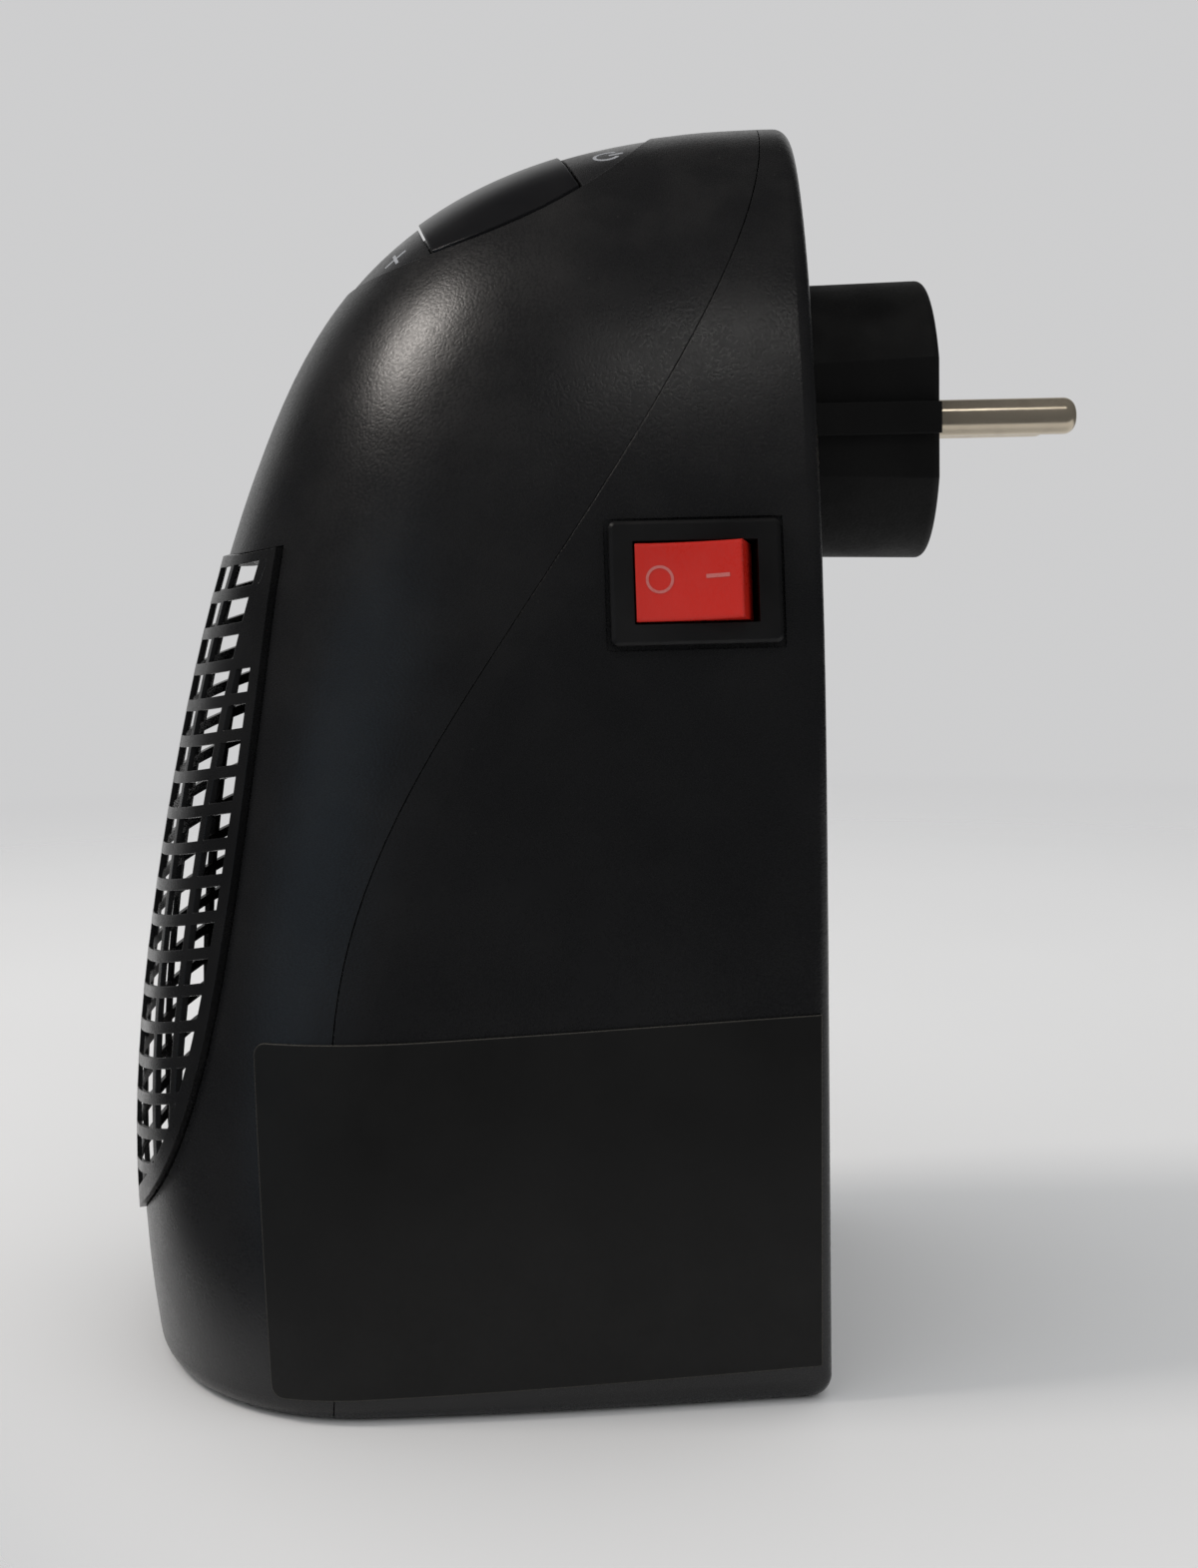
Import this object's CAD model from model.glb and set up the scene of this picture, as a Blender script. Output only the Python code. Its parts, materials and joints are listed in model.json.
"""Looks of a plug-in fan heater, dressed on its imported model. Metres, +Z up, front towards -Y."""

from __future__ import annotations

import json
import logging
import math
from collections.abc import Mapping
from dataclasses import dataclass
from enum import Enum

import bmesh
import bpy
from mathutils import Matrix, Vector
from mathutils.bvhtree import BVHTree

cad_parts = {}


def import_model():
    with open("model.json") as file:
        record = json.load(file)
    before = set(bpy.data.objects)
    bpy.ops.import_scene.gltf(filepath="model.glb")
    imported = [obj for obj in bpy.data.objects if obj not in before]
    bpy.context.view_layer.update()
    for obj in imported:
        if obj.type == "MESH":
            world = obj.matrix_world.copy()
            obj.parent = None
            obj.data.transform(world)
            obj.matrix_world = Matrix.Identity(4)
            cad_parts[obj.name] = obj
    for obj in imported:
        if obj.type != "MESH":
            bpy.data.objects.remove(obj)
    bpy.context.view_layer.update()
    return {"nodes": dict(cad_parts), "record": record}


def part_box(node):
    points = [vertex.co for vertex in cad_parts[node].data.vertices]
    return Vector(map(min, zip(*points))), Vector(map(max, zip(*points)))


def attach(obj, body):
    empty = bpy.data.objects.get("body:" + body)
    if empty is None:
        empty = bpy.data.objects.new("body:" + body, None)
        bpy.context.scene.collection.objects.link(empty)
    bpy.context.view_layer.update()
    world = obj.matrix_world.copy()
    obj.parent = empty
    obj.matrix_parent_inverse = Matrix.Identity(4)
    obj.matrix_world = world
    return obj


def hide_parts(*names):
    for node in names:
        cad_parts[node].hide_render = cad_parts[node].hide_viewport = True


LOG = logging.getLogger("heater")
Colour = tuple[float, float, float]
Point = tuple[float, float, float]
Spot = tuple[float, float]
Face = tuple[int, ...]
Object, Mesh, Material = bpy.types.Object, bpy.types.Mesh, bpy.types.Material
Tree, Node, Socket = bpy.types.NodeTree, bpy.types.Node, bpy.types.NodeSocket
Sockets = Mapping[str, Socket]
FLOAT, VECTOR, COLOUR = "NodeSocketFloat", "NodeSocketVector", "NodeSocketColor"
GEOMETRY, OBJECT, MATERIAL = "NodeSocketGeometry", "NodeSocketObject", "NodeSocketMaterial"
SOCKET_OF = {float: FLOAT, int: "NodeSocketInt", tuple: COLOUR}
SHADING, SHAPING = "ShaderNodeTree", "GeometryNodeTree"


# ---------------------------------------------------------------- shader effects


class Effect(Enum):
    """Names of the shader groups that several finishes share."""

    GRAIN = "moulded_grain"
    HANDLING = "handling_marks"
    EDGE = "edge_light"
    DUST = "settled_dust"


class Board:
    """A node tree under construction, with short ways to place and join nodes."""

    def __init__(self, tree: Tree) -> None:
        """Wraps a node tree."""
        self.tree = tree

    @classmethod
    def group(
        cls, name: str, kind: str, inputs: dict[str, object], outputs: dict[str, str]
    ) -> tuple[Board, Sockets, Sockets]:
        """Starts a node group.

        Args:
            name: The group's name.
            kind: The type of its tree.
            inputs: Default of each named input, or its socket type where it has none.
            outputs: Socket type of each named output.

        Returns:
            The board, the sockets that the group is given and those that it fills.
        """
        tree = bpy.data.node_groups.new(name, kind)
        for label, default in inputs.items():
            bare = isinstance(default, str)
            sort = default if bare else SOCKET_OF[type(default)]
            socket = tree.interface.new_socket(name=label, in_out="INPUT", socket_type=sort)
            if not bare:
                socket.default_value = default
        for label, sort in outputs.items():
            tree.interface.new_socket(name=label, in_out="OUTPUT", socket_type=sort)
        return cls(tree), tree.nodes.new("NodeGroupInput").outputs, tree.nodes.new("NodeGroupOutput").inputs

    def feed(self, socket: Socket, value: object) -> None:
        """Joins a socket to another one, or sets its value.

        Args:
            socket: The input socket.
            value: An output socket, or a plain value.
        """
        if isinstance(value, Socket):
            self.tree.links.new(value, socket)
        else:
            socket.default_value = value

    def fill(self, node: Node, **inputs: object) -> Node:
        """Feeds a node's inputs.

        Args:
            node: The node.
            inputs: Values or sockets by socket name, with underscores for spaces.

        Returns:
            The node.
        """
        for name, value in inputs.items():
            self.feed(node.inputs[name.replace("_", " ")], value)
        return node

    def node(self, kind: str, **inputs: object) -> Node:
        """Places a node of a type and feeds its inputs."""
        return self.fill(self.tree.nodes.new(kind), **inputs)

    def operate(self, kind: str, how: str, terms: tuple[object, ...]) -> Node:
        """Places a Math or Vector Math node.

        Args:
            kind: The node's type.
            how: The operation.
            terms: Values or sockets.

        Returns:
            The node.
        """
        made = self.node(kind)
        made.operation = how
        for socket, term in zip(made.inputs, terms):
            self.feed(socket, term)
        return made

    def maths(self, how: str, *terms: object, clamp: bool = False) -> Socket:
        """Places a Math node.

        Args:
            how: The operation.
            terms: Up to three numbers or sockets.
            clamp: Whether the result is kept from 0 to 1.

        Returns:
            The result's socket.
        """
        made = self.operate("ShaderNodeMath", how, terms)
        made.use_clamp = clamp
        return made.outputs[0]

    def vector(self, how: str, *terms: object) -> Socket:
        """Places a Vector Math node and returns the result's socket."""
        made = self.operate("ShaderNodeVectorMath", how, terms)
        return made.outputs["Value" if how == "DOT_PRODUCT" else "Vector"]

    def span(
        self, value: object, low: float, high: float, to_low: float = 0.0, to_high: float = 1.0
    ) -> Socket:
        """Turns one range of values into another, smoothly and clamped.

        Args:
            value: The value or socket.
            low: Start of the range that is read.
            high: End of the range that is read.
            to_low: What the start becomes.
            to_high: What the end becomes.

        Returns:
            The result's socket.
        """
        made = self.node("ShaderNodeMapRange")
        made.interpolation_type = "SMOOTHSTEP"
        self.fill(made, Value=value, From_Min=low, From_Max=high, To_Min=to_low, To_Max=to_high)
        return made.outputs["Result"]

    def noise(self, scale: object, detail: float = 3.0, vector: object = None) -> Socket:
        """Places a Noise Texture on object coordinates.

        Args:
            scale: Its scale per metre, a number or a socket.
            detail: Its octaves.
            vector: Coordinates, or None for the object's own.

        Returns:
            The noise value's socket.
        """
        where = vector if vector is not None else self.place()
        return self.node("ShaderNodeTexNoise", Scale=scale, Detail=detail, Vector=where).outputs["Fac"]

    def place(self, kind: str = "Object") -> Socket:
        """Returns the socket of the object's coordinates, or of another kind of coordinates."""
        return self.node("ShaderNodeTexCoord").outputs[kind]

    def normal(self) -> Socket:
        """Returns the socket of the surface's plain normal."""
        return self.node("ShaderNodeNewGeometry").outputs["Normal"]

    def split(self, vector: Socket) -> Sockets:
        """Returns the sockets of a vector's X, Y and Z."""
        return self.node("ShaderNodeSeparateXYZ", Vector=vector).outputs

    def blend(self, fac: object, first: object, second: object) -> Socket:
        """Mixes two colours.

        Args:
            fac: How much of the second colour.
            first: The first colour or socket.
            second: The second colour or socket.

        Returns:
            The mixed colour's socket.
        """
        made = self.node("ShaderNodeMix")
        made.data_type = "RGBA"
        self.feed(made.inputs["Factor"], fac)
        for socket, colour in ((made.inputs[6], first), (made.inputs[7], second)):
            self.feed(socket, colour if isinstance(colour, Socket) else (*colour, 1.0))
        return made.outputs[2]


class EffectShelf:
    """Builds each shared shader group once."""

    def __init__(self) -> None:
        """Builds the groups."""
        self.groups = {
            Effect.GRAIN: self.grain(),
            Effect.HANDLING: self.handling(),
            Effect.EDGE: self.edge(),
            Effect.DUST: self.dust(),
        }

    def grain(self) -> Tree:
        """Makes the group for fine moulded texture as a bump, with slow waves of the wall under it.

        Returns:
            The shader group.
        """
        board, given, put = Board.group(
            Effect.GRAIN.value,
            SHADING,
            {"Scale": 2500.0, "Strength": 0.2, "Waviness": 0.02},
            {"Normal": VECTOR, "Speck": FLOAT},
        )
        fine = board.noise(given["Scale"], 2.0)
        slow = board.noise(45.0, 1.0)
        first = board.node("ShaderNodeBump", Height=fine, Strength=given["Strength"], Distance=0.0001)
        waved = board.node("ShaderNodeBump", Height=slow, Strength=given["Waviness"], Distance=0.002)
        board.fill(waved, Normal=first.outputs["Normal"])
        board.feed(put["Normal"], waved.outputs["Normal"])
        board.feed(put["Speck"], board.span(fine, 0.35, 0.65))
        return board.tree

    def handling(self) -> Tree:
        """Makes the group for patches where hands and cloths have polished or dulled the surface.

        Returns:
            The shader group.
        """
        board, given, put = Board.group(
            Effect.HANDLING.value,
            SHADING,
            {"Roughness": 0.4, "Amount": 0.08, "Speck": 0.5, "Grit": 0.05},
            {"Roughness": FLOAT, "Patch": FLOAT},
        )
        patch = board.span(board.noise(38.0, 4.0), 0.3, 0.7, -1.0, 1.0)
        streak = board.span(board.noise(210.0, 3.0), 0.35, 0.65, -0.5, 0.5)
        both = board.maths("MULTIPLY", board.maths("ADD", patch, streak), given["Amount"])
        grit = board.maths("MULTIPLY", board.maths("SUBTRACT", given["Speck"], 0.5), given["Grit"])
        rough = board.maths("ADD", board.maths("ADD", given["Roughness"], both), grit, clamp=True)
        board.feed(put["Roughness"], rough)
        board.feed(put["Patch"], board.maths("MULTIPLY_ADD", patch, 0.5, 0.5))
        return board.tree

    def edge(self) -> Tree:
        """Makes the group for rounded edges, with a mask of where they are.

        Returns:
            The shader group.
        """
        board, given, put = Board.group(
            Effect.EDGE.value, SHADING, {"Radius": 0.0003, "Gain": 4.0}, {"Normal": VECTOR, "Mask": FLOAT}
        )
        bevel = board.node("ShaderNodeBevel", Radius=given["Radius"])
        bevel.samples = 4
        along = board.vector("DOT_PRODUCT", bevel.outputs["Normal"], board.normal())
        turned = board.maths("SUBTRACT", 1.0, along)
        board.feed(put["Normal"], bevel.outputs["Normal"])
        board.feed(put["Mask"], board.maths("MULTIPLY", turned, given["Gain"], clamp=True))
        return board.tree

    def dust(self) -> Tree:
        """Makes the group for thin dust on faces that look upward, and sparse specks of lint.

        Returns:
            The shader group.
        """
        board, given, put = Board.group(
            Effect.DUST.value,
            SHADING,
            {"Colour": (0.02, 0.02, 0.02, 1.0), "Dust": (0.35, 0.33, 0.30, 1.0), "Amount": 0.02},
            {"Colour": COLOUR},
        )
        upward = board.span(board.split(board.normal())["Z"], -0.1, 0.9, 0.15, 1.0)
        cloud = board.span(board.noise(95.0, 5.0), 0.35, 0.75, 0.2, 1.0)
        lint = board.span(board.noise(1500.0, 1.0), 0.78, 0.84, 0.0, 2.0)
        film = board.maths("MULTIPLY", board.maths("ADD", cloud, lint), upward)
        mask = board.maths("MULTIPLY", film, given["Amount"], clamp=True)
        board.feed(put["Colour"], board.blend(mask, given["Colour"], given["Dust"]))
        return board.tree

    def place(self, board: Board, effect: Effect, **inputs: object) -> Sockets:
        """Places a shared group in a material.

        Args:
            board: The material's board.
            effect: Which group.
            inputs: Values or sockets by input name.

        Returns:
            The group's output sockets.
        """
        made = board.node("ShaderNodeGroup")
        made.node_tree = self.groups[effect]
        return board.fill(made, **inputs).outputs


# ---------------------------------------------------------------- finishes


@dataclass(frozen=True)
class Moulded:
    """A moulded plastic, lacquered or rubbery finish."""

    name: str
    colour: Colour
    roughness: float
    edge_colour: Colour
    grain_scale: float = 2600.0
    grain: float = 0.25
    waviness: float = 0.02
    handling: float = 0.06
    grit: float = 0.06
    edge_radius: float = 0.00025
    edge_amount: float = 0.5
    dust: float = 0.03
    tint: float = 0.12
    specular: float = 0.5

    def build(self, shelf: EffectShelf) -> Material:
        """Makes the material.

        Args:
            shelf: The shared shader groups.

        Returns:
            The material.
        """
        made, board, shader = blank_material(self.name)
        grain = shelf.place(
            board, Effect.GRAIN, Scale=self.grain_scale, Strength=self.grain, Waviness=self.waviness
        )
        edge = shelf.place(board, Effect.EDGE, Radius=self.edge_radius)
        marks = {"Roughness": self.roughness, "Amount": self.handling, "Grit": self.grit}
        hand = shelf.place(board, Effect.HANDLING, Speck=grain["Speck"], **marks)
        shade = tuple(min(1.0, c * (1 + self.tint)) for c in self.colour)
        deep = tuple(c * (1 - self.tint) for c in self.colour)
        body = board.blend(hand["Patch"], deep, shade)
        worn = board.maths("MULTIPLY", edge["Mask"], self.edge_amount)
        edged = board.blend(worn, body, self.edge_colour)
        dust = shelf.place(board, Effect.DUST, Colour=edged, Amount=self.dust)
        board.fill(
            shader,
            Base_Color=dust["Colour"],
            Roughness=hand["Roughness"],
            Normal=join_normals(board, edge["Normal"], grain["Normal"]),
            Specular_IOR_Level=self.specular,
        )
        return made


@dataclass(frozen=True)
class Metal:
    """A plated, rolled or drawn metal finish, with fine lines along one axis."""

    name: str
    colour: Colour
    roughness: float
    drawn: Point = (1.0, 1.0, 1.0)
    line_scale: float = 2500.0
    lines: float = 0.08
    tarnish: Colour = (0.3, 0.25, 0.2)
    tarnish_amount: float = 0.25
    edge_radius: float = 0.0002
    metallic: float = 1.0

    def build(self, shelf: EffectShelf) -> Material:
        """Makes the material.

        Args:
            shelf: The shared shader groups.

        Returns:
            The material.
        """
        made, board, shader = blank_material(self.name)
        stretch = board.node("ShaderNodeMapping", Vector=board.place(), Scale=self.drawn)
        line = board.noise(self.line_scale, 2.0, stretch.outputs["Vector"])
        edge = shelf.place(board, Effect.EDGE, Radius=self.edge_radius)
        marks = {"Roughness": self.roughness, "Amount": 0.05, "Grit": 0.12}
        hand = shelf.place(board, Effect.HANDLING, Speck=line, **marks)
        spot = board.span(board.noise(260.0, 4.0), 0.52, 0.72, 0.0, self.tarnish_amount)
        bump = board.node(
            "ShaderNodeBump", Height=line, Normal=edge["Normal"], Strength=self.lines, Distance=0.0001
        )
        board.fill(
            shader,
            Base_Color=board.blend(spot, self.colour, self.tarnish),
            Roughness=hand["Roughness"],
            Normal=bump.outputs["Normal"],
            Metallic=self.metallic,
        )
        return made


@dataclass(frozen=True)
class Printed:
    """Opaque ink, with tiny gaps where the grain under it shows."""

    name: str
    colour: Colour
    under: Colour
    roughness: float = 0.5
    gaps: float = 0.25

    def build(self, shelf: EffectShelf) -> Material:
        """Makes the material.

        Args:
            shelf: The shared shader groups.

        Returns:
            The material.
        """
        made, board, shader = blank_material(self.name)
        grain = shelf.place(board, Effect.GRAIN, Scale=5200.0, Strength=0.2, Waviness=0.0)
        thin = board.span(board.noise(2400.0, 3.0), 0.5, 0.72, 0.0, self.gaps)
        colour = board.blend(thin, self.colour, self.under)
        marks = {"Roughness": self.roughness, "Amount": 0.04, "Grit": 0.08}
        hand = shelf.place(board, Effect.HANDLING, Speck=grain["Speck"], **marks)
        board.fill(shader, Base_Color=colour, Roughness=hand["Roughness"], Normal=grain["Normal"])
        return made


@dataclass(frozen=True)
class Circuit:
    """Lacquered circuit board with copper tracks under the lacquer."""

    name: str
    colour: Colour
    track: Colour
    pads: Colour

    def build(self, shelf: EffectShelf) -> Material:
        """Makes the material.

        Args:
            shelf: The shared shader groups.

        Returns:
            The material.
        """
        made, board, shader = blank_material(self.name)
        cells = board.node("ShaderNodeTexVoronoi", Scale=260.0, Vector=board.place())
        cells.distance = "CHEBYCHEV"
        tracks = board.span(cells.outputs["Distance"], 0.38, 0.42)
        pad = board.span(cells.outputs["Distance"], 0.10, 0.14, 1.0, 0.0)
        colour = board.blend(pad, board.blend(tracks, self.colour, self.track), self.pads)
        grain = shelf.place(board, Effect.GRAIN, Scale=1800.0, Strength=0.1, Waviness=0.0)
        marks = {"Roughness": 0.35, "Amount": 0.06, "Grit": 0.05}
        hand = shelf.place(board, Effect.HANDLING, Speck=grain["Speck"], **marks)
        board.fill(shader, Base_Color=colour, Roughness=hand["Roughness"], Normal=grain["Normal"])
        return made


def blank_material(name: str) -> tuple[Material, Board, Node]:
    """Starts a material with a Principled shader joined to its output.

    Args:
        name: The material's name.

    Returns:
        The material, its board and its Principled node.
    """
    made = bpy.data.materials.new(name)
    made.use_nodes = True
    made.node_tree.nodes.clear()
    board = Board(made.node_tree)
    shader = board.node("ShaderNodeBsdfPrincipled")
    board.node("ShaderNodeOutputMaterial", Surface=shader.outputs["BSDF"])
    return made, board, shader


def join_normals(board: Board, rounded: Socket, grained: Socket) -> Socket:
    """Returns the normal of rounded edges with what a grain's bump changes added to it."""
    change = board.vector("SUBTRACT", grained, board.normal())
    return board.vector("NORMALIZE", board.vector("ADD", change, rounded))


Finish = Moulded | Metal | Printed | Circuit
BLACK_EDGE: Colour = (0.05, 0.05, 0.052)

FINISHES: dict[str, Finish] = {
    "casing_black": Moulded(
        "casing_satin_black", (0.0085, 0.0085, 0.0092), 0.285, (0.02, 0.02, 0.021), grain=0.27,
        handling=0.025, edge_radius=0.00012, edge_amount=0.2, tint=0.06, specular=0.43,
    ),
    "grille_black": Moulded(
        "grille_semi_gloss", (0.007, 0.007, 0.0075), 0.27, (0.02, 0.02, 0.021), grain=0.12,
        edge_radius=0.0002, edge_amount=0.25,
    ),
    "panel_gloss": Moulded(
        "window_gloss_black", (0.005, 0.005, 0.006), 0.24, BLACK_EDGE, grain=0.0, waviness=0.015,
        handling=0.03, grit=0.01, dust=0.012, edge_radius=0.0003, edge_amount=0.1, specular=0.45,
    ),
    "key_black": Moulded(
        "key_satin_black", (0.012, 0.012, 0.013), 0.26, BLACK_EDGE, grain=0.2, edge_radius=0.0005
    ),
    "switch_black": Moulded(
        "switch_frame_black", (0.0075, 0.0075, 0.008), 0.46, (0.009, 0.009, 0.009), grain=0.15,
        edge_amount=0.1, specular=0.26,
    ),
    "rocker_red": Moulded(
        "rocker_satin_red", (0.51, 0.015, 0.008), 0.36, (0.62, 0.035, 0.024), grain_scale=1900.0,
        grain=0.18, edge_radius=0.0006, dust=0.01, tint=0.06, specular=0.35,
    ),
    "label_black": Moulded(
        "label_matt_black", (0.0075, 0.0074, 0.0072), 0.50, (0.16, 0.15, 0.13), grain_scale=1400.0,
        grain=0.12, waviness=0.12, edge_amount=0.8, dust=0.02, specular=0.22,
    ),
    "plug_black": Moulded(
        "plug_matt_black", (0.005, 0.005, 0.005), 0.66, (0.02, 0.02, 0.02), grain=0.4, specular=0.22
    ),
    "pin_nickel": Metal(
        "pin_nickel_plate", (0.62, 0.54, 0.42), 0.17, drawn=(1.0, 0.04, 1.0), lines=0.05, metallic=0.78
    ),
    "contact_brass": Metal("contact_brass", (0.62, 0.45, 0.20), 0.35),
    "steel": Metal("zinc_plated_steel", (0.50, 0.50, 0.51), 0.32),
    "board_green": Circuit(
        "board_lacquer_green", (0.012, 0.06, 0.022), (0.02, 0.10, 0.035), (0.55, 0.55, 0.52)
    ),
    "component": Moulded("component_moulded", (0.02, 0.02, 0.024), 0.5, (0.06, 0.06, 0.065), grain=0.2),
    "fin_aluminium": Metal(
        "fin_rolled_aluminium", (0.62, 0.62, 0.62), 0.38, drawn=(1.0, 0.05, 1.0), tarnish=(0.45, 0.38, 0.28)
    ),
    "ceramic": Moulded(
        "ceramic_bar", (0.22, 0.20, 0.17), 0.7, (0.3, 0.28, 0.25), grain_scale=1500.0, grain=0.4, dust=0.1
    ),
    "frame_plastic": Moulded("heat_proof_frame", (0.028, 0.027, 0.026), 0.6, (0.07, 0.07, 0.07), grain=0.5),
    "fan_black": Moulded("fan_satin_black", (0.012, 0.012, 0.013), 0.45, BLACK_EDGE, grain=0.25, dust=0.08),
    "wire_white": Moulded("wire_sleeve_white", (0.42, 0.42, 0.40), 0.5, (0.5, 0.5, 0.48), grain=0.1),
}

SIGN_INK = Printed("sign_ink_grey", (0.34, 0.35, 0.37), (0.03, 0.03, 0.03))
ROCKER_INK = Printed("rocker_ink_pale", (0.50, 0.13, 0.12), (0.46, 0.05, 0.04), roughness=0.40, gaps=0.4)


class FinishShop:
    """Makes each material once and hands it out."""

    def __init__(self) -> None:
        """Builds the shared groups and starts with no materials."""
        self.shelf = EffectShelf()
        self.made: dict[str, Material] = {}

    def get(self, finish: Finish) -> Material:
        """Gives the material of a finish.

        Args:
            finish: One of the finish dataclasses.

        Returns:
            Its material.
        """
        if finish.name not in self.made:
            self.made[finish.name] = finish.build(self.shelf)
        return self.made[finish.name]

    def of_slot(self, slot: str) -> Material:
        """Returns the material of one of the record's slots."""
        return self.get(FINISHES[slot])


# ---------------------------------------------------------------- mesh helpers

SMOOTH_BELOW = math.radians(30.0)


def new_object(name: str, data: bpy.types.ID) -> Object:
    """Puts a mesh, a light or a camera into the scene.

    Args:
        name: The object's name.
        data: Its mesh, light or camera.

    Returns:
        The object, at the origin.
    """
    made = bpy.data.objects.new(name, data)
    bpy.context.scene.collection.objects.link(made)
    return made


def written(name: str, form: bmesh.types.BMesh) -> Mesh:
    """Writes an edited form into a new mesh and frees it.

    Args:
        name: The mesh's name.
        form: The form.

    Returns:
        The mesh.
    """
    made = bpy.data.meshes.new(name)
    form.to_mesh(made)
    form.free()
    return made


def mesh_of(name: str, points: list[Point], faces: list[Face]) -> Mesh:
    """Makes a mesh with its normals outward.

    Args:
        name: The mesh's name.
        points: Its points.
        faces: Its faces.

    Returns:
        The mesh.
    """
    form = bmesh.new()
    corners = [form.verts.new(p) for p in points]
    for face in faces:
        form.faces.new([corners[i] for i in face])
    bmesh.ops.remove_doubles(form, verts=form.verts, dist=1e-7)
    bmesh.ops.recalc_face_normals(form, faces=form.faces)
    return written(name, form)


def ring(radius: float, level: float, sides: int) -> list[Point]:
    """Returns the corners of a level, regular ring."""
    turns = [math.tau * i / sides for i in range(sides)]
    return [(radius * math.cos(turn), radius * math.sin(turn), level) for turn in turns]


def band(first: int, second: int, sides: int) -> list[Face]:
    """Returns the faces between two rings, from the numbers of the rings' first corners."""
    steps = [(i, (i + 1) % sides) for i in range(sides)]
    return [(first + i, first + j, second + j, second + i) for i, j in steps]


def settle(piece: Object, name: str) -> Object:
    """Turns an object with modifiers into a plain mesh object of another name.

    Args:
        piece: The object with its modifiers.
        name: The finished piece's name.

    Returns:
        The finished piece.
    """
    bpy.context.view_layer.update()
    seen = piece.evaluated_get(bpy.context.evaluated_depsgraph_get())
    plain = bpy.data.meshes.new_from_object(seen)
    plain.name = name
    bpy.data.objects.remove(piece)
    return new_object(name, plain)


def smooth(piece: Object) -> None:
    """Shades a piece smooth, with its sharper edges left sharp.

    Args:
        piece: The piece.
    """
    mesh = piece.data
    mesh.shade_smooth()
    form = bmesh.new()
    form.from_mesh(mesh)
    for edge in form.edges:
        edge.smooth = not (len(edge.link_faces) == 2 and edge.calc_face_angle(0.0) > SMOOTH_BELOW)
    form.to_mesh(mesh)
    form.free()


def paint(piece: Object, material: Material) -> None:
    """Gives a whole piece one material."""
    piece.data.materials.clear()
    piece.data.materials.append(material)


def report(piece: Object) -> None:
    """Reports a finished piece."""
    LOG.info("%s: %d faces", piece.name, len(piece.data.polygons))


@dataclass(frozen=True)
class Sheet:
    """A flat drawing plane in space."""

    origin: Vector
    across: Vector
    up: Vector

    @property
    def out(self) -> Vector:
        """Returns the direction out of the plane."""
        return self.across.cross(self.up).normalized()

    def at(self, u: float, v: float, rise: float = 0.0) -> Vector:
        """Returns the place of a drawn point, raised off the plane."""
        return self.origin + self.across * u + self.up * v + self.out * rise


PANEL_MIDDLE, PANEL_LEAN = Vector((0, 0.0075, 0.1483)), math.radians(26.0)
SWITCH_MIDDLE = Vector((0.0416, 0.0299, 0.1020))
SWITCH_TURN, SWITCH_LEAN = math.radians(2.5), math.radians(9.2)


def panel_sheet() -> Sheet:
    """Returns the drawing plane over the control panel."""
    return Sheet(PANEL_MIDDLE, Vector((1, 0, 0)), Vector((0, math.cos(PANEL_LEAN), math.sin(PANEL_LEAN))))


def switch_sheet() -> Sheet:
    """Makes the drawing plane over the rocker switch, across towards the rear.

    Returns:
        The plane.
    """
    out = Vector((math.cos(SWITCH_TURN), math.sin(SWITCH_TURN), 0)) * math.cos(SWITCH_LEAN)
    out.z = math.sin(SWITCH_LEAN)
    across = Vector((-math.sin(SWITCH_TURN), math.cos(SWITCH_TURN), 0))
    return Sheet(SWITCH_MIDDLE, across, out.cross(across))


# ---------------------------------------------------------------- printed signs

INK_LIFT = 0.00004
SEARCH_RISE = 0.03


@dataclass
class Stroke:
    """A printed line: a straight bar, or an arc of a ring."""

    centre: Spot
    length: float
    width: float
    angle: float = 0.0
    sweep: float = 0.0
    parts: int = 8

    def outline(self) -> list[tuple[Spot, Spot]]:
        """Gives pairs of points across the stroke, from one end to the other.

        Returns:
            Pairs of drawn points in metres. An arc's length is its radius.
        """
        turn, half, pairs = math.radians(self.angle), self.width / 2, []
        for i in range(self.parts + 1):
            share = i / self.parts - 0.5
            if self.sweep:
                way = turn + math.radians(self.sweep) * share
                radii = (self.length - half, self.length + half)
                ends = [(radius * math.cos(way), radius * math.sin(way)) for radius in radii]
            else:
                x, y, along = math.cos(turn), math.sin(turn), self.length * share
                ends = [(x * along - y * side, y * along + x * side) for side in (-half, half)]
            pairs.append(tuple((self.centre[0] + u, self.centre[1] + v) for u, v in ends))
        return pairs


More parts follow.
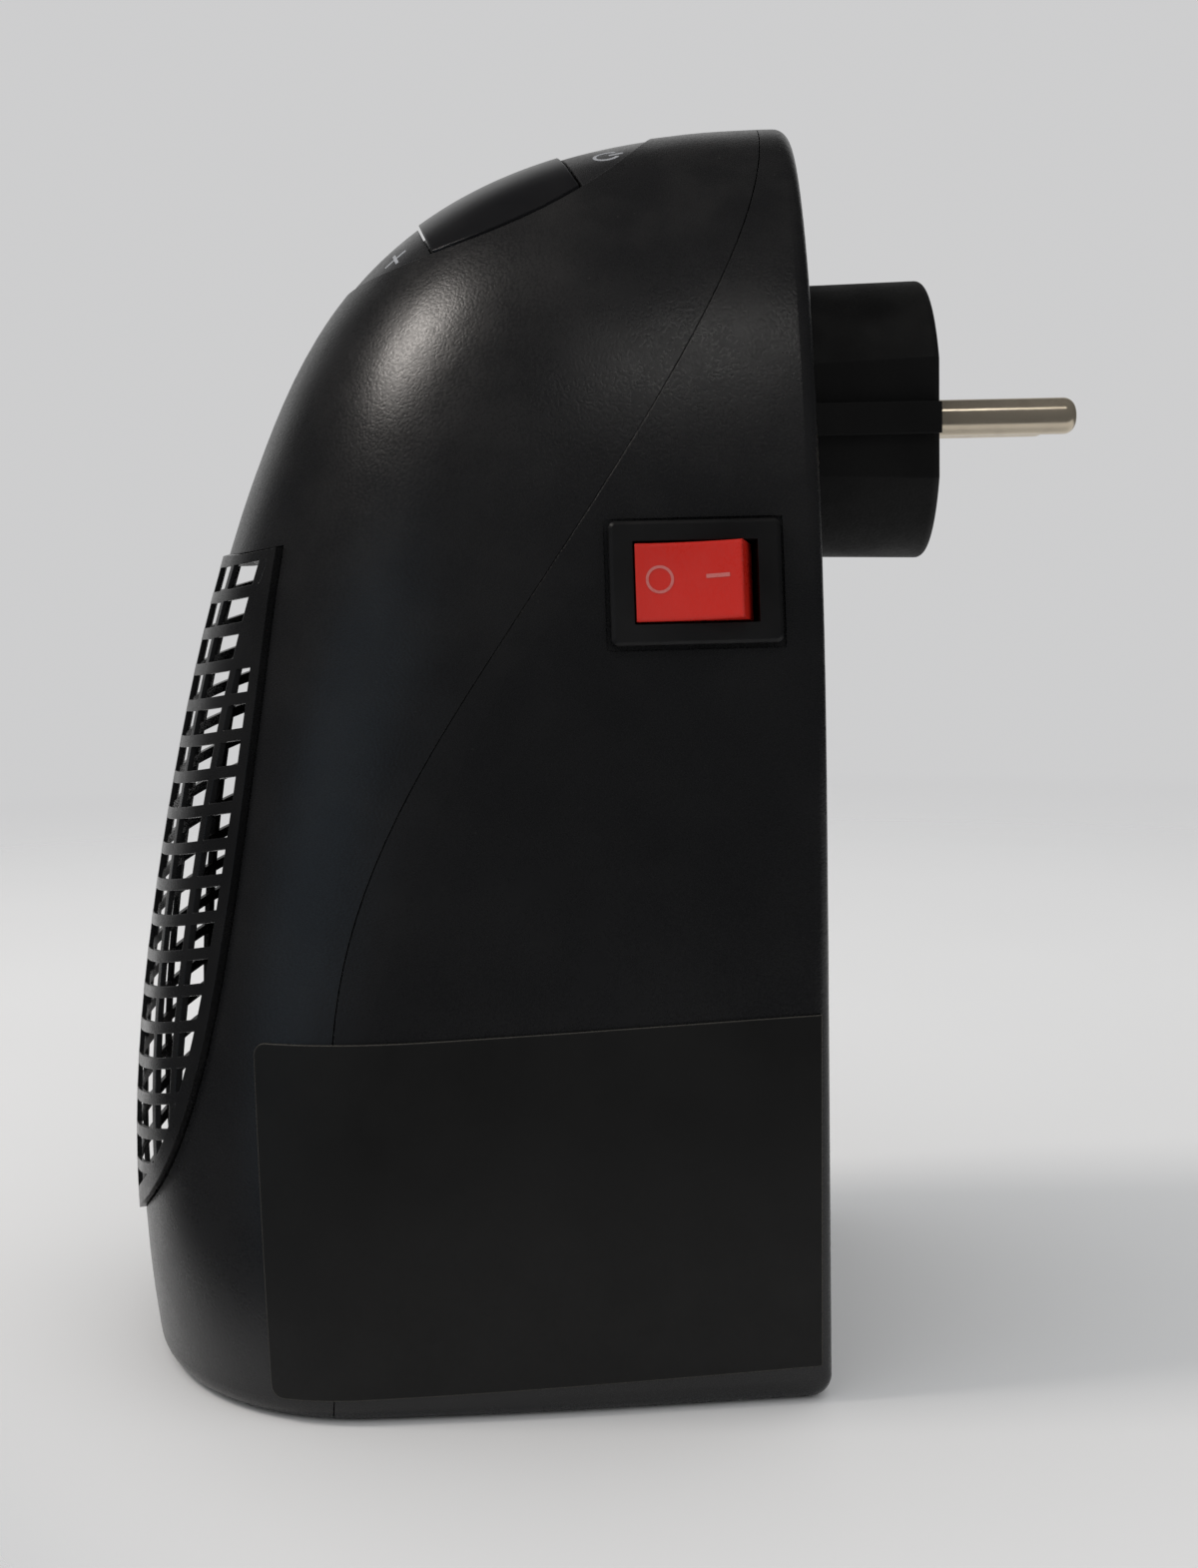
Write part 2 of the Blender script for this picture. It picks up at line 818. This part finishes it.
def print_on(name: str, strokes: list[Stroke], sheet: Sheet, node: Object, ink: Material) -> Object | None:
    """Lays strokes on a node's surface as a thin film of ink.

    Args:
        name: The piece's name.
        strokes: What is drawn.
        sheet: The plane on which it is drawn.
        node: The CAD node that carries it.
        ink: The ink's material.

    Returns:
        The piece, or None where no stroke meets the surface.
    """
    mesh, lift = node.data, sheet.out * INK_LIFT
    sides = [tuple(polygon.vertices) for polygon in mesh.polygons]
    search = BVHTree.FromPolygons([vertex.co for vertex in mesh.vertices], sides)
    points: list[Point] = []
    faces: list[Face] = []
    for stroke in strokes:
        rows = []
        for pair in stroke.outline():
            hits = [search.ray_cast(sheet.at(u, v, SEARCH_RISE), -sheet.out)[0] for u, v in pair]
            rows.append([] if None in hits else [(hit + lift, hit - lift * 2) for hit in hits])
        closed = abs(stroke.sweep) >= 360
        for i in range(len(rows) - 1):
            if not rows[i] or not rows[i + 1]:
                continue
            start = len(points)
            for row in (rows[i], rows[i + 1]):
                for top, foot in row:
                    points += [tuple(top), tuple(foot)]
            a0, a0f, a1, a1f, b0, b0f, b1, b1f = range(start, start + 8)
            faces += [(a0, a1, b1, b0), (a0f, b0f, b1f, a1f), (a0, b0, b0f, a0f), (a1, a1f, b1f, b1)]
            if i == 0 and not closed:
                faces.append((a0, a0f, a1f, a1))
            if i == len(rows) - 2 and not closed:
                faces.append((b0, b1, b1f, b0f))
    if not faces:
        LOG.warning("%s: no stroke meets the surface", name)
        return None
    piece = new_object(name, mesh_of(name, points, faces))
    paint(piece, ink)
    return piece


@dataclass
class ControlPanel:
    """The keys' plain signs on the oval panel."""

    shop: FinishShop
    nodes: dict[str, Object]
    ink_width: float = 0.00045
    fine_width: float = 0.00036
    bar: float = 0.0034
    rim: float = 0.0015
    low_side: float = 0.0115
    high_side: float = 0.0100
    low: float = -0.0145
    high: float = 0.0158

    def signs(self) -> dict[str, list[Stroke]]:
        """Gives the strokes of each key's sign.

        Returns:
            Strokes by the key's node.
        """
        wide, fine = self.ink_width, self.fine_width
        minus, plus = (-self.low_side, self.low), (self.low_side, self.low)
        timer, power = (-self.high_side, self.high), (self.high_side, self.high)
        return {
            "key_minus": [Stroke(minus, self.bar, wide)],
            "key_plus": [Stroke(plus, self.bar, wide), Stroke(plus, self.bar, wide, 90.0)],
            "key_timer": [
                Stroke(timer, self.rim, wide, sweep=360.0, parts=28),
                Stroke((timer[0], timer[1] + 0.00045), 0.0011, fine, 90.0),
                Stroke((timer[0] + 0.0004, timer[1]), 0.0009, fine),
            ],
            "key_power": [
                Stroke(power, self.rim, wide, angle=-90.0, sweep=290.0, parts=24),
                Stroke((power[0], power[1] + 0.0012), 0.0018, wide, 90.0),
            ],
        }

    def build(self) -> None:
        """Prints every key's sign."""
        ink = self.shop.get(SIGN_INK)
        for key, strokes in self.signs().items():
            piece = print_on(f"{key}_sign", strokes, panel_sheet(), self.nodes[key], ink)
            if piece is not None:
                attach(piece, f"{key}_body")
                report(piece)


@dataclass
class RockerSwitch:
    """The ring and the bar printed on the rocker."""

    shop: FinishShop
    nodes: dict[str, Object]
    ring_at: Spot = (-0.0044, 0.0003)
    ring_radius: float = 0.00150
    ring_width: float = 0.00034
    bar_at: Spot = (0.0024, 0.0005)
    bar_length: float = 0.0027
    bar_width: float = 0.000476

    def build(self) -> None:
        """Prints the marks."""
        strokes = [
            Stroke(self.ring_at, self.ring_radius, self.ring_width, sweep=360.0, parts=40),
            Stroke(self.bar_at, self.bar_length, self.bar_width, angle=1.0),
        ]
        ink = self.shop.get(ROCKER_INK)
        piece = print_on("rocker_marks", strokes, switch_sheet(), self.nodes["switch_rocker"], ink)
        if piece is not None:
            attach(piece, "rocker")
            report(piece)


# ---------------------------------------------------------------- repeated pieces


class Repeats:
    """Geometry Nodes trees for what repeats."""

    @staticmethod
    def start(name: str, inputs: dict[str, object]) -> tuple[Board, Sockets, Sockets]:
        """Starts a geometry tree with more inputs than its geometry, as Board.group does."""
        return Board.group(name, SHAPING, {"Geometry": GEOMETRY, **inputs}, {"Geometry": GEOMETRY})

    @staticmethod
    def end(board: Board, points: Socket, shape: Socket, finish: Socket, put: Sockets) -> None:
        """Ends a geometry tree with copies of a shape as real geometry with its material.

        Args:
            board: The tree's board.
            points: Where the copies go.
            shape: The geometry that is copied.
            finish: The material's socket.
            put: What the tree gives out.
        """
        copies = board.node("GeometryNodeInstanceOnPoints", Points=points, Instance=shape)
        real = board.node("GeometryNodeRealizeInstances", Geometry=copies.outputs["Instances"])
        dressed = board.node("GeometryNodeSetMaterial", Geometry=real.outputs[0], Material=finish)
        board.feed(put["Geometry"], dressed.outputs["Geometry"])

    def along_points(self) -> Tree:
        """Makes the tree for one shape on every point of a mesh.

        Returns:
            The geometry tree.
        """
        board, given, put = self.start("shape_on_points", {"Shape": OBJECT, "Finish": MATERIAL})
        shape = board.node("GeometryNodeObjectInfo", Object=given["Shape"])
        self.end(board, given["Geometry"], shape.outputs["Geometry"], given["Finish"], put)
        return board.tree

    def corrugation(self) -> Tree:
        """Makes the tree for bands one above the other, each a zigzag along X that is drawn out along Y.

        Returns:
            The geometry tree.
        """
        sizes = {"Width": 0.05, "Height": 0.006, "Depth": 0.01, "Band Pitch": 0.0135}
        counts = {"Folds": 48, "Bands": 5}
        board, given, put = self.start("corrugated_bands", {**sizes, **counts, "Finish": MATERIAL})
        index = board.node("GeometryNodeInputIndex").outputs[0]
        line = board.node("GeometryNodeMeshLine", Count=board.maths("ADD", given["Folds"], 1.0))
        share = board.maths("SUBTRACT", board.maths("DIVIDE", index, given["Folds"]), 0.5)
        odd = board.maths("SUBTRACT", board.maths("MODULO", index, 2.0), 0.5)
        spot = board.node(
            "ShaderNodeCombineXYZ",
            X=board.maths("MULTIPLY", share, given["Width"]),
            Y=board.maths("MULTIPLY", given["Depth"], -0.5),
            Z=board.maths("MULTIPLY", odd, given["Height"]),
        )
        folded = board.node("GeometryNodeSetPosition", Geometry=line.outputs[0], Position=spot.outputs[0])
        drawn = board.node("GeometryNodeExtrudeMesh")
        drawn.mode = "EDGES"
        rearward = board.node("ShaderNodeCombineXYZ", Y=1.0).outputs[0]
        board.fill(drawn, Mesh=folded.outputs["Geometry"], Offset=rearward, Offset_Scale=given["Depth"])
        levels = board.node("GeometryNodeMeshLine", Count=given["Bands"])
        middle = board.maths("MULTIPLY", board.maths("SUBTRACT", given["Bands"], 1.0), 0.5)
        level = board.maths("MULTIPLY", board.maths("SUBTRACT", index, middle), given["Band Pitch"])
        lifted = board.node("ShaderNodeCombineXYZ", Z=level).outputs[0]
        stacked = board.node("GeometryNodeSetPosition", Geometry=levels.outputs[0], Position=lifted)
        self.end(board, stacked.outputs["Geometry"], drawn.outputs["Mesh"], given["Finish"], put)
        return board.tree


def grown(name: str, base: Mesh, tree: Tree, values: dict[str, object], place: Matrix) -> Object:
    """Runs a geometry tree on a base mesh and keeps the result as a plain piece.

    Args:
        name: The piece's name.
        base: The mesh that the tree starts from.
        tree: The geometry tree.
        values: The tree's inputs by name.
        place: Where the result goes.

    Returns:
        The piece, at the origin with its place in its mesh.
    """
    holder = new_object(f"{name}_base", base)
    modifier = holder.modifiers.new("tree", "NODES")
    modifier.node_group = tree
    for item in tree.interface.items_tree:
        if item.item_type == "SOCKET" and item.in_out == "INPUT" and item.name in values:
            modifier[item.identifier] = values[item.name]
    piece = settle(holder, name)
    piece.data.transform(place)
    return piece


@dataclass
class HeatingCore:
    """The heating core seen through the grille: folded fins between the ceramic bars."""

    shop: FinishShop
    repeats: Repeats
    folds: int = 46
    bands: int = 3
    thick: float = 0.0003
    bar_height: float = 0.005

    def band_set(self, name: str, room: float, bands: int, pitch: float, middle: Vector) -> Object:
        """Makes bands of folded fins one above the other.

        Args:
            name: The object's name.
            room: Height that one band fills.
            bands: How many bands.
            pitch: Step from one band to the next.
            middle: Middle of the set.

        Returns:
            The bands as one object.
        """
        low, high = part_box("heater_fins")
        values = {
            "Width": high.x - low.x - 2 * self.thick,
            "Height": room - self.thick,
            "Depth": high.y - low.y,
            "Folds": self.folds,
            "Bands": bands,
            "Band Pitch": pitch,
            "Finish": self.shop.of_slot("fin_aluminium"),
        }
        base = bpy.data.meshes.new(f"{name}_base")
        thin = grown(f"{name}_thin", base, self.repeats.corrugation(), values, Matrix.Translation(middle))
        wall = thin.modifiers.new("wall", "SOLIDIFY")
        wall.thickness = self.thick
        wall.offset = 0.0
        return settle(thin, name)

    def fins(self) -> Object:
        """Makes the folded fins between the bars and outside them.

        Returns:
            The piece.
        """
        low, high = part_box("heater_fins")
        bars_low, bars_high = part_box("heater_bars")
        tall, edge = bars_high.z - bars_low.z, bars_low.z - low.z
        pitch = (tall - self.bar_height) / self.bands
        middle = Vector(((low.x + high.x) / 2, (low.y + high.y) / 2, (bars_low.z + bars_high.z) / 2))
        inner = self.band_set("inner_fins", pitch - self.bar_height, self.bands, pitch, middle)
        outer = self.band_set("outer_fins", edge, 2, tall + edge, middle)
        form = bmesh.new()
        for part in (inner, outer):
            form.from_mesh(part.data)
            bpy.data.objects.remove(part)
        mesh = written("heater_folded_fins", form)
        mesh.materials.append(self.shop.of_slot("fin_aluminium"))
        return new_object("heater_folded_fins", mesh)

    def build(self) -> None:
        """Makes the fins and puts them on the casing."""
        piece = self.fins()
        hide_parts("heater_fins")
        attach(piece, "casing")
        report(piece)


@dataclass
class Screws:
    """Cross-recessed screws in the places of the plain CAD ones."""

    shop: FinishShop
    repeats: Repeats
    head_radius: float = 0.0027
    head_rise: float = 0.0020
    shank_radius: float = 0.0014
    tip: float = 0.0006
    recess: float = 0.0011
    slot_width: float = 0.0007
    slot_reach: float = 0.0016
    slot_taper: float = 0.75
    sides: int = 24

    def shape(self, name: str, shank: float) -> Object:
        """Makes one screw with its head's foot at the origin and its shank along -Z.

        Args:
            name: The object's name.
            shank: The shank's length.

        Returns:
            The screw.
        """
        n, points, faces = self.sides, [], []
        for radius, level in (
            (self.shank_radius * 0.6, -shank),
            (self.shank_radius, -shank + self.tip),
            (self.shank_radius, 0.0),
            (self.head_radius, 0.0),
            (self.head_radius, self.head_rise * 0.45),
            (self.head_radius * 0.88, self.head_rise * 0.82),
            (self.head_radius * 0.62, self.head_rise),
        ):
            points += ring(radius, level, n)
        last = len(points) - n
        for start in range(0, last, n):
            faces += band(start, start + n, n)
        faces += [tuple(reversed(range(n))), tuple(range(last, last + n))]
        screw = new_object(name, mesh_of(name, points, faces))
        cutter = self.cross(f"{name}_cross")
        cut = screw.modifiers.new("cross", "BOOLEAN")
        cut.operation = "DIFFERENCE"
        cut.object = cutter
        cut.solver = "EXACT"
        made = settle(screw, f"{name}_cut")
        bpy.data.objects.remove(cutter)
        smooth(made)
        return made

    def cross(self, name: str) -> Object:
        """Makes the cross that is cut into a head.

        Args:
            name: The object's name.

        Returns:
            The cutter.
        """
        w, r, taper = self.slot_width / 2, self.slot_reach, self.slot_taper
        top, foot = self.head_rise + 0.001, self.head_rise - self.recess
        corners = [(w, w), (r, w), (r, -w), (w, -w), (w, -r), (-w, -r)]
        corners += [(-w, -w), (-r, -w), (-r, w), (-w, w), (-w, r), (w, r)]
        points = [(x, y, top) for x, y in corners] + [(x * taper, y * taper, foot) for x, y in corners]
        n = len(corners)
        faces = [tuple(range(n)), tuple(reversed(range(n, 2 * n))), *band(0, n, n)]
        return new_object(name, mesh_of(name, points, faces))

    def build(self, name: str, node: str, spots: list[Point], shank: float, tilt: float) -> None:
        """Puts screws on their places.

        Args:
            name: The piece's name.
            node: The CAD node that they replace.
            spots: Places of the heads' feet.
            shank: The shank's length.
            tilt: Degrees about X that turn +Z to where the heads point.
        """
        screw = self.shape(f"{name}_shape", shank)
        screw.data.transform(Matrix.Rotation(math.radians(tilt), 4, "X"))
        base = bpy.data.meshes.new(f"{name}_spots")
        base.from_pydata(spots, [], [])
        values = {"Shape": screw, "Finish": self.shop.of_slot("steel")}
        piece = grown(name, base, self.repeats.along_points(), values, Matrix.Identity(4))
        bpy.data.objects.remove(screw)
        smooth(piece)
        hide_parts(node)
        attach(piece, "casing")
        report(piece)


# ---------------------------------------------------------------- scene round the object


@dataclass
class Studio:
    """Floor, backdrop, lights and camera."""

    floor_tone: Colour = (0.750, 0.752, 0.755)
    floor_rings: tuple[float, ...] = (0.15, 0.3, 0.6, 0.9)
    floor_sides: int = 64
    fade_far: Spot = (0.24, 0.62)
    fade_near: Spot = (0.095, 0.17)
    fade_aside: Spot = (0.052, 0.100)
    backdrop_tone: Colour = (0.615, 0.615, 0.620)
    diffuse_tone: Colour = (0.80, 0.805, 0.81)
    room_tones: tuple[Colour, Colour] = ((0.030, 0.031, 0.033), (0.032, 0.032, 0.033))
    behind_tone: Colour = (0.55, 0.55, 0.55)
    window_way: Point = (0.60, -0.79, 0.10)
    window_tone: Colour = (0.19, 0.27, 0.35)
    lamp_tone: Colour = (3.20, 3.13, 3.02)
    key_radiance: float = 17.5
    key_size: float = 0.25
    key_far: float = 1.0
    key_target: Point = (0, -0.005, 0.12)
    key_way: Point = (0.07, -0.62, 0.78)
    key_colour: Colour = (1.0, 0.94, 0.89)
    camera_at: Point = (0.330, 0.01084, 0.11451)
    camera_turn: Point = (1.41, 7.178, -1.225)
    camera_lens: float = 55.56

    def floor(self) -> None:
        """Makes a pale floor that runs out softly into the backdrop."""
        n = self.floor_sides
        points: list[Point] = [(0.0, 0.0, 0.0)]
        for radius in self.floor_rings:
            points += ring(radius, 0.0, n)
        faces: list[Face] = [(0, 1 + i, 1 + (i + 1) % n) for i in range(n)]
        for k in range(1, len(self.floor_rings)):
            faces += band(1 + k * n, 1 + (k - 1) * n, n)
        mesh = bpy.data.meshes.new("floor")
        mesh.from_pydata(points, [], faces)
        piece = new_object("floor", mesh)
        made, board, shader = blank_material("floor_pale")
        cloud = board.span(board.noise(9.0, 2.0), 0.3, 0.7)
        tone = board.blend(cloud, tuple(c * 0.985 for c in self.floor_tone), self.floor_tone)
        board.fill(shader, Base_Color=tone, Roughness=0.8, Specular_IOR_Level=0.2)
        spot = board.split(board.place())
        x, y = spot["X"], spot["Y"]
        squares = board.maths("ADD", board.maths("POWER", x, 2.0), board.maths("POWER", y, 2.0))
        far = board.maths("SQRT", squares)
        aside = board.maths("SUBTRACT", board.maths("MULTIPLY", x, 0.5), board.maths("MULTIPLY", y, 0.87))
        fade = board.maths("MAXIMUM", board.span(far, *self.fade_far), board.span(x, *self.fade_near))
        fade = board.maths("MAXIMUM", fade, board.span(aside, *self.fade_aside))
        mix = board.node("ShaderNodeMixShader", Fac=fade)
        board.feed(mix.inputs[1], shader.outputs["BSDF"])
        board.feed(mix.inputs[2], board.node("ShaderNodeBsdfTransparent").outputs["BSDF"])
        out = next(node for node in board.tree.nodes if node.bl_idname == "ShaderNodeOutputMaterial")
        board.feed(out.inputs["Surface"], mix.outputs["Shader"])
        paint(piece, made)

    def surroundings(self) -> None:
        """Makes the room: pale to the camera, even for diffuse light, mostly dark in reflections."""
        world = bpy.data.worlds.new("room")
        bpy.context.scene.world = world
        world.use_nodes = True
        world.node_tree.nodes.clear()
        board = Board(world.node_tree)
        way = board.place("Generated")
        part = board.split(way)
        rear, level = board.span(part["X"], -0.60, -0.93), board.span(part["Z"], 0.82, 0.50)
        towards = board.vector("DOT_PRODUCT", way, Vector(self.window_way).normalized())
        lamp: object = 1.0
        for axis, low, high in (
            ("X", 0.30, 0.50),
            ("Y", -0.10, -0.02),
            ("Y", 0.28, 0.18),
            ("Z", 0.695, 0.72),
            ("Z", 0.805, 0.78),
        ):
            lamp = board.maths("MULTIPLY", lamp, board.span(part[axis], low, high))
        room = board.blend(board.span(part["Z"], 0.0, 0.9), *self.room_tones)
        room = board.blend(board.span(towards, 0.91, 0.99), room, self.window_tone)
        room = board.blend(board.maths("MULTIPLY", rear, level), room, self.behind_tone)
        room = board.blend(lamp, room, self.lamp_tone)
        rays = board.node("ShaderNodeLightPath").outputs
        even = board.blend(rays["Is Diffuse Ray"], room, self.diffuse_tone)
        seen = board.maths("MAXIMUM", rays["Is Camera Ray"], rays["Is Transmission Ray"])
        light = board.node("ShaderNodeBackground", Color=board.blend(seen, even, self.backdrop_tone))
        board.node("ShaderNodeOutputWorld", Surface=light.outputs["Background"])

    def key_light(self) -> None:
        """Places the soft, square key light, in front of the heater and above it."""
        target, way = Vector(self.key_target), Vector(self.key_way).normalized()
        data = bpy.data.lights.new("key", "AREA")
        data.shape = "SQUARE"
        data.size = self.key_size
        data.energy = self.key_radiance * math.pi * self.key_size * self.key_size
        data.color = self.key_colour
        lamp = new_object("key", data)
        lamp.location = target + way * self.key_far
        lamp.rotation_mode = "QUATERNION"
        lamp.rotation_quaternion = (lamp.location - target).to_track_quat("Z", "Y")

    def camera(self) -> None:
        """Places the camera where the photograph was taken from."""
        yaw, pitch, roll = (math.radians(turn) for turn in self.camera_turn)
        ahead = Vector((-math.cos(yaw) * math.cos(pitch), math.sin(yaw) * math.cos(pitch), -math.sin(pitch)))
        right = Vector((math.sin(yaw), math.cos(yaw), 0))
        up = right.cross(ahead)
        across = right * math.cos(roll) + up * math.sin(roll)
        rise = up * math.cos(roll) - right * math.sin(roll)
        data = bpy.data.cameras.new("camera")
        data.sensor_width = 36.0
        data.lens = self.camera_lens
        data.clip_start = 0.01
        camera = new_object("camera", data)
        turned = Matrix((across, rise, -ahead)).transposed().to_4x4()
        camera.matrix_world = Matrix.Translation(self.camera_at) @ turned
        bpy.context.scene.camera = camera

    def build(self) -> None:
        """Sets up everything round the object."""
        self.camera()
        self.floor()
        self.surroundings()
        self.key_light()
        bpy.context.scene.view_settings.view_transform = "Standard"


@dataclass
class Casing:
    """The carried-over CAD nodes and their finishes."""

    shop: FinishShop
    nodes: dict[str, Object]
    slots: dict[str, str]

    def build(self) -> None:
        """Gives every CAD node the material of its slot."""
        for name, node in self.nodes.items():
            material = self.shop.of_slot(self.slots[name])
            for slot in node.material_slots:
                slot.material = material
            LOG.info("%s: %d faces, %s", name, len(node.data.polygons), material.name)


REAR = 0.0455
FAN_HEIGHT, CORE_HALF = 0.054, 0.0275
SHELL_SHANK, CORE_SHANK = 0.012, 0.048
REARWARD, FORWARD = -90.0, 90.0
SHELL_SPOTS = [(-0.03, REAR - 0.044, 0.0105), (0.03, REAR - 0.044, 0.0105), (0.0, REAR - 0.004, 0.150)]
CORE_SPOTS = [
    (x, REAR - 0.0625, FAN_HEIGHT + z) for x in (-CORE_HALF, CORE_HALF) for z in (-CORE_HALF, CORE_HALF)
]


def main() -> None:
    """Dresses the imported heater."""
    logging.basicConfig(level=logging.INFO, format="%(name)s: %(message)s")
    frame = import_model()
    nodes = frame["nodes"]
    slots = {row["node"]: row["material_slot"] for row in frame["record"]["subparts"]}
    Studio().build()
    shop = FinishShop()
    repeats = Repeats()
    Casing(shop, nodes, slots).build()
    ControlPanel(shop, nodes).build()
    RockerSwitch(shop, nodes).build()
    HeatingCore(shop, repeats).build()
    screws = Screws(shop, repeats)
    screws.build("shell_cross_screws", "shell_screws", SHELL_SPOTS, SHELL_SHANK, REARWARD)
    screws.build("core_cross_screws", "core_screws", CORE_SPOTS, CORE_SHANK, FORWARD)


if __name__ == "__main__":
    main()
